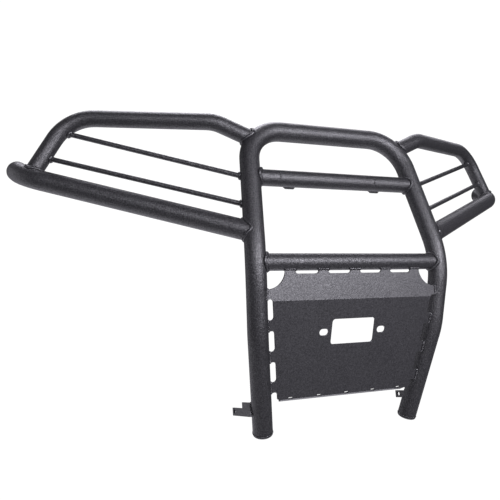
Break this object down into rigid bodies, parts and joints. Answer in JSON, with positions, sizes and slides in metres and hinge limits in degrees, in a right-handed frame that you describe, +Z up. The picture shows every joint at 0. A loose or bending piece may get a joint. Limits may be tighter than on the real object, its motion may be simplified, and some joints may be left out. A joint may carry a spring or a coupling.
{
  "type": "front grille guard",
  "caption": "Front brush guard of welded round tube: a bent hoop with a pierced winch plate and two swept-back headlamp wings with rods.",
  "frame": {"origin": "midpoint between the bolt holes of the two lower brackets", "axes": "+X to the right seen from the front, +Y back towards the vehicle, +Z up"},
  "size_m": [1.1808, 0.3327, 0.6069],
  "materials": {
    "tube_coat": "matte powder coat",
    "plate_coat": "matte powder coat"
  },
  "bodies": {
    "root": {"main_hoop": "tube_coat", "upper_cross_tube": "tube_coat", "mid_cross_tube": "tube_coat", "winch_plate": "plate_coat", "left_leg_cap": "tube_coat", "right_leg_cap": "tube_coat", "left_lower_bracket": "plate_coat", "right_lower_bracket": "plate_coat", "left_upper_tab": "plate_coat", "right_upper_tab": "plate_coat", "left_lower_wing_tube": "tube_coat", "right_lower_wing_tube": "tube_coat", "left_upper_wing_tube": "tube_coat", "right_upper_wing_tube": "tube_coat", "left_upper_wing_rod": "tube_coat", "right_upper_wing_rod": "tube_coat", "left_lower_wing_rod": "tube_coat", "right_lower_wing_rod": "tube_coat", "left_wing_cap": "tube_coat", "right_wing_cap": "tube_coat"}
  },
  "joints": []
}
